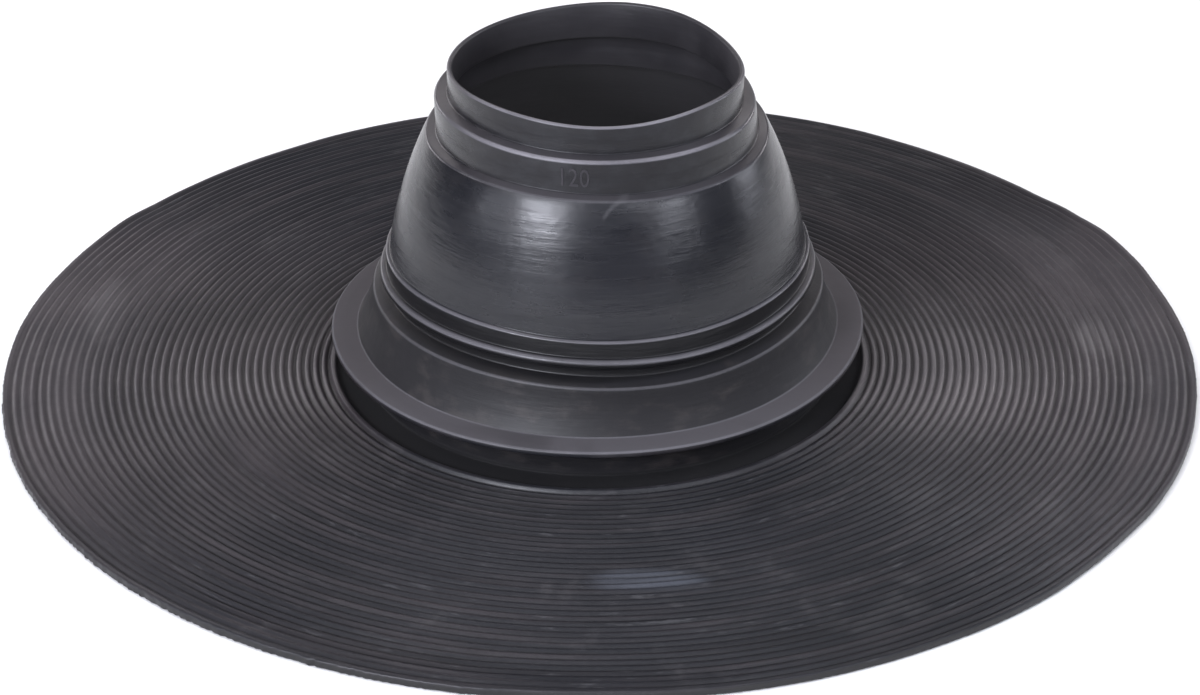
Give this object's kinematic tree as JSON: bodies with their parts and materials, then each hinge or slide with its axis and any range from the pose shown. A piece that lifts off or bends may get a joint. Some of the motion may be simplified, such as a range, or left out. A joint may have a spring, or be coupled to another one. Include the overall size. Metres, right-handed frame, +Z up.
{
  "type": "pipe flashing boot",
  "caption": "Round ribbed rubber flange with a neck, lip, bell, crowned dome and stepped collars that grip and seal a pipe where it passes through a roof.",
  "frame": {"origin": "centre of the flange's flat underside", "axes": "+Z up along the pipe, out of the smaller collar; +X and +Y across the flange, which is round, so they are equal"},
  "size_m": [0.4599, 0.46, 0.1268],
  "materials": {
    "rubber": "satin black moulded rubber"
  },
  "bodies": {
    "root": {"flashing_boot": "rubber"}
  },
  "joints": []
}
